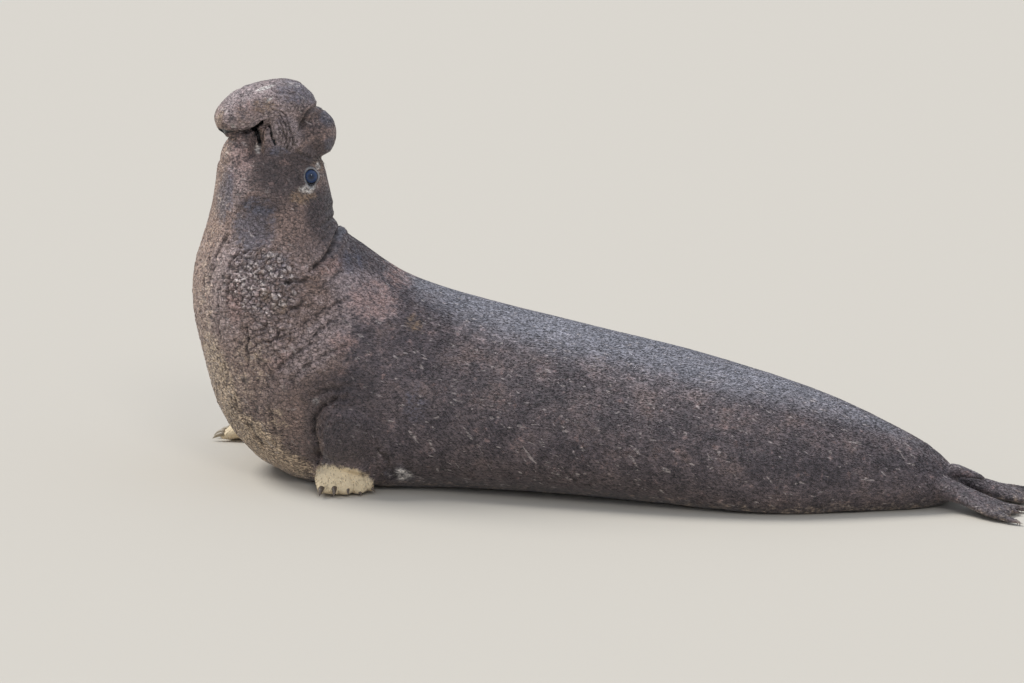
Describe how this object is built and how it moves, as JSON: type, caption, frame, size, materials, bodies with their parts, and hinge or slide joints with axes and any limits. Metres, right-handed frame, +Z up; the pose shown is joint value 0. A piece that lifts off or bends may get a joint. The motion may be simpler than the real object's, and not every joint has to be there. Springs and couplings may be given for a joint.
{
  "type": "elephant seal",
  "caption": "Life-size bull elephant seal, reared up and calling with its trunk over its open mouth, resting on its belly and fore flippers.",
  "frame": {"origin": "on the floor, on the flat of the belly, in the plane of the straight part of the spine", "axes": "+X from the head towards the hind flippers, +Y towards the seal's right side, +Z up"},
  "size_m": [4.0571, 1.2937, 1.8397],
  "materials": {
    "hide": "short dark grey-brown fur, matt, with pale scars",
    "chest_hide": "rough cracked hide with pinkish calluses",
    "flipper_hide": "short fur dusted with sand",
    "eye": "wet and glossy",
    "claw": "dull dark horn"
  },
  "bodies": {
    "root": {"hips": "hide", "torso": "hide", "chest": "chest_hide", "neck": "chest_hide", "head": "hide", "trunk": "hide", "lower_jaw": "hide", "eye_left": "eye", "eye_right": "eye", "fore_flipper_left": "flipper_hide", "fore_flipper_right": "flipper_hide", "claw_left_1": "claw", "claw_left_2": "claw", "claw_left_3": "claw", "claw_left_4": "claw", "claw_left_5": "claw", "claw_right_1": "claw", "claw_right_2": "claw", "claw_right_3": "claw", "claw_right_4": "claw", "claw_right_5": "claw", "hind_flipper_left": "flipper_hide", "hind_flipper_right": "flipper_hide", "tail": "hide"}
  },
  "joints": []
}
